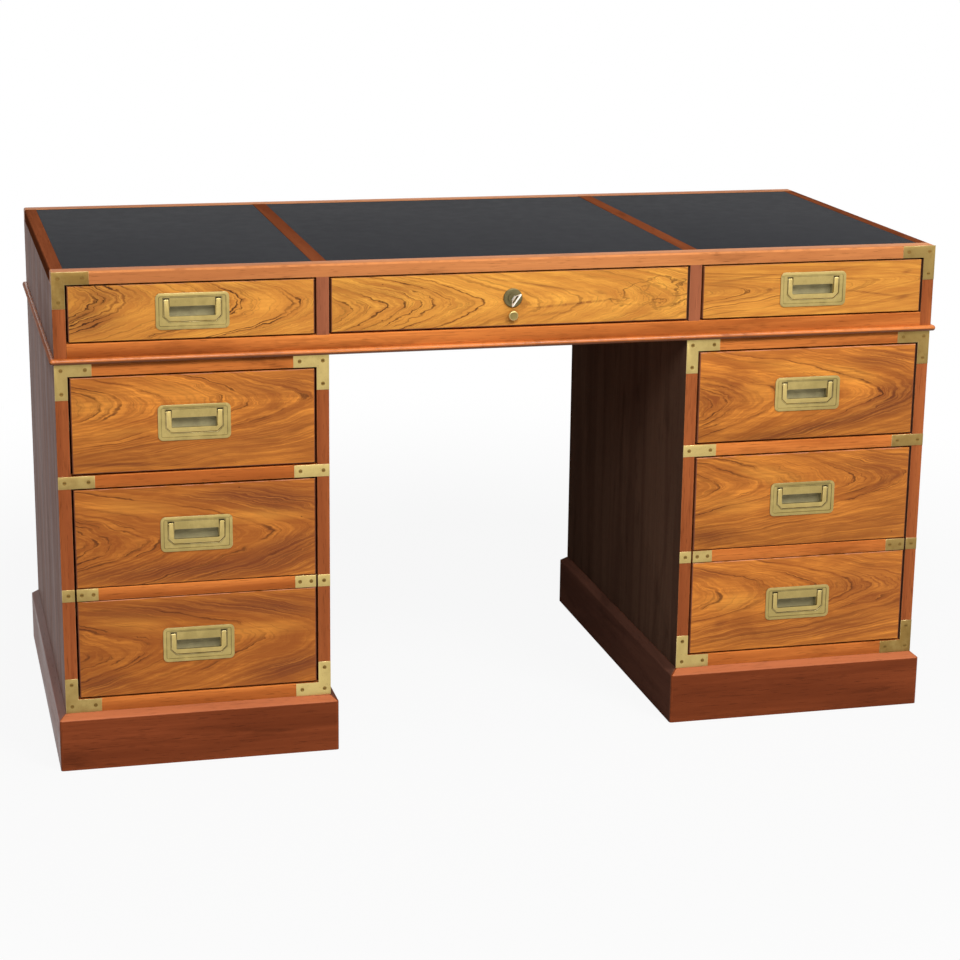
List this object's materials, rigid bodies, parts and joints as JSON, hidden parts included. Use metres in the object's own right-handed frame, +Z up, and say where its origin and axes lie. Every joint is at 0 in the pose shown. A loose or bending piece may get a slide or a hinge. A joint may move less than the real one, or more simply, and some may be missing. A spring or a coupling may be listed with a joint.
{
  "type": "campaign desk",
  "caption": "Pedestal campaign writing desk with an inlaid leather top, inset brass brackets, recessed brass drawer pulls, file drawers and a locking centre drawer.",
  "frame": {"origin": "on the floor at the middle of the overall box, key included", "axes": "+Z up, -Y towards the person who sits at the desk, +X to that person's right"},
  "size_m": [1.394, 0.6696, 0.762],
  "materials": {
    "mahogany": "satin lacquer",
    "plinth_mahogany": "satin lacquer",
    "case_drawer_veneer": "figured golden veneer, satin lacquer",
    "pedestal_drawer_veneer": "figured red-brown veneer, satin lacquer",
    "drawer_wood": "plain waxed wood",
    "core_wood": "plain wood",
    "leather": "matt black hide",
    "brass": "aged satin brass",
    "key_steel": "nickel-plated key"
  },
  "bodies": {
    "desk": {"top_lipping": "mahogany", "top_core": "core_wood", "leather_panels": "leather", "case_sides": "mahogany", "case_dividers": "mahogany", "case_back": "mahogany", "case_bottom": "core_wood", "case_bottom_rail": "mahogany", "case_bead": "mahogany", "drawer_runners": "drawer_wood", "locating_dowels": "drawer_wood", "corner_brackets": "brass", "rail_straps": "brass", "brass_screws": "brass", "pedestal_left_sides": "mahogany", "pedestal_left_back": "mahogany", "pedestal_left_decks": "core_wood", "pedestal_left_rails": "mahogany", "pedestal_left_plinth": "plinth_mahogany", "pedestal_right_sides": "mahogany", "pedestal_right_back": "mahogany", "pedestal_right_decks": "core_wood", "pedestal_right_rails": "mahogany", "pedestal_right_plinth": "plinth_mahogany"},
    "top_left_drawer": {"top_left_drawer_front": "case_drawer_veneer", "top_left_drawer_box": "drawer_wood", "top_left_pull_plate": "brass"},
    "top_centre_drawer": {"top_centre_drawer_front": "case_drawer_veneer", "top_centre_drawer_box": "drawer_wood", "lock_case": "brass", "centre_knob": "brass"},
    "top_right_drawer": {"top_right_drawer_front": "case_drawer_veneer", "top_right_drawer_box": "drawer_wood", "top_right_pull_plate": "brass"},
    "upper_left_drawer": {"upper_left_drawer_front": "pedestal_drawer_veneer", "upper_left_drawer_box": "drawer_wood", "upper_left_pull_plate": "brass"},
    "upper_right_drawer": {"upper_right_drawer_front": "pedestal_drawer_veneer", "upper_right_drawer_box": "drawer_wood", "upper_right_pull_plate": "brass"},
    "file_left_drawer": {"file_left_false_rail": "mahogany", "file_left_straps": "brass", "file_left_drawer_front": "pedestal_drawer_veneer", "file_left_drawer_box": "drawer_wood", "file_left_pull_plate": "brass"},
    "file_right_drawer": {"file_right_false_rail": "mahogany", "file_right_straps": "brass", "file_right_drawer_front": "pedestal_drawer_veneer", "file_right_drawer_box": "drawer_wood", "file_right_pull_plate": "brass"},
    "top_left_bail": {"top_left_bail": "brass"},
    "upper_left_bail": {"upper_left_bail": "brass"},
    "file_left_upper_bail": {"file_left_upper_bail": "brass"},
    "file_left_lower_bail": {"file_left_lower_bail": "brass"},
    "top_right_bail": {"top_right_bail": "brass"},
    "upper_right_bail": {"upper_right_bail": "brass"},
    "file_right_upper_bail": {"file_right_upper_bail": "brass"},
    "file_right_lower_bail": {"file_right_lower_bail": "brass"},
    "lock_plug": {"lock_plug": "brass"},
    "key": {"key": "key_steel"}
  },
  "joints": [
    {"name": "top_left_slide", "type": "slide", "parent": "desk", "child": "top_left_drawer", "axis": [0, -1, 0], "range_m": [0, 0.4]},
    {"name": "top_centre_slide", "type": "slide", "parent": "desk", "child": "top_centre_drawer", "axis": [0, -1, 0], "range_m": [0, 0.4]},
    {"name": "top_right_slide", "type": "slide", "parent": "desk", "child": "top_right_drawer", "axis": [0, -1, 0], "range_m": [0, 0.4]},
    {"name": "upper_left_slide", "type": "slide", "parent": "desk", "child": "upper_left_drawer", "axis": [0, -1, 0], "range_m": [0, 0.4]},
    {"name": "upper_right_slide", "type": "slide", "parent": "desk", "child": "upper_right_drawer", "axis": [0, -1, 0], "range_m": [0, 0.4]},
    {"name": "file_left_slide", "type": "slide", "parent": "desk", "child": "file_left_drawer", "axis": [0, -1, 0], "range_m": [0, 0.4]},
    {"name": "file_right_slide", "type": "slide", "parent": "desk", "child": "file_right_drawer", "axis": [0, -1, 0], "range_m": [0, 0.4]},
    {"name": "top_left_bail_hinge", "type": "hinge", "parent": "top_left_drawer", "child": "top_left_bail", "pos_m": [-0.4835, -0.3086, 0.7149], "axis": [-1, 0, 0], "range_deg": [0, 90]},
    {"name": "upper_left_bail_hinge", "type": "hinge", "parent": "upper_left_drawer", "child": "upper_left_bail", "pos_m": [-0.4835, -0.3056, 0.5474], "axis": [-1, 0, 0], "range_deg": [0, 90]},
    {"name": "file_left_upper_bail_hinge", "type": "hinge", "parent": "file_left_drawer", "child": "file_left_upper_bail", "pos_m": [-0.4835, -0.3056, 0.3759], "axis": [-1, 0, 0], "range_deg": [0, 90]},
    {"name": "file_left_lower_bail_hinge", "type": "hinge", "parent": "file_left_drawer", "child": "file_left_lower_bail", "pos_m": [-0.4835, -0.3056, 0.2019], "axis": [-1, 0, 0], "range_deg": [0, 90]},
    {"name": "top_right_bail_hinge", "type": "hinge", "parent": "top_right_drawer", "child": "top_right_bail", "pos_m": [0.4835, -0.3086, 0.7149], "axis": [-1, 0, 0], "range_deg": [0, 90]},
    {"name": "upper_right_bail_hinge", "type": "hinge", "parent": "upper_right_drawer", "child": "upper_right_bail", "pos_m": [0.4835, -0.3056, 0.5474], "axis": [-1, 0, 0], "range_deg": [0, 90]},
    {"name": "file_right_upper_bail_hinge", "type": "hinge", "parent": "file_right_drawer", "child": "file_right_upper_bail", "pos_m": [0.4835, -0.3056, 0.3759], "axis": [-1, 0, 0], "range_deg": [0, 90]},
    {"name": "file_right_lower_bail_hinge", "type": "hinge", "parent": "file_right_drawer", "child": "file_right_lower_bail", "pos_m": [0.4835, -0.3056, 0.2019], "axis": [-1, 0, 0], "range_deg": [0, 90]},
    {"name": "lock_turn", "type": "hinge", "parent": "top_centre_drawer", "child": "lock_plug", "pos_m": [0, -0.3092, 0.702], "axis": [0, -1, 0], "range_deg": [0, 90]},
    {"name": "key_pull", "type": "slide", "parent": "lock_plug", "child": "key", "axis": [0, -1, 0], "range_m": [0, 0.026]}
  ]
}
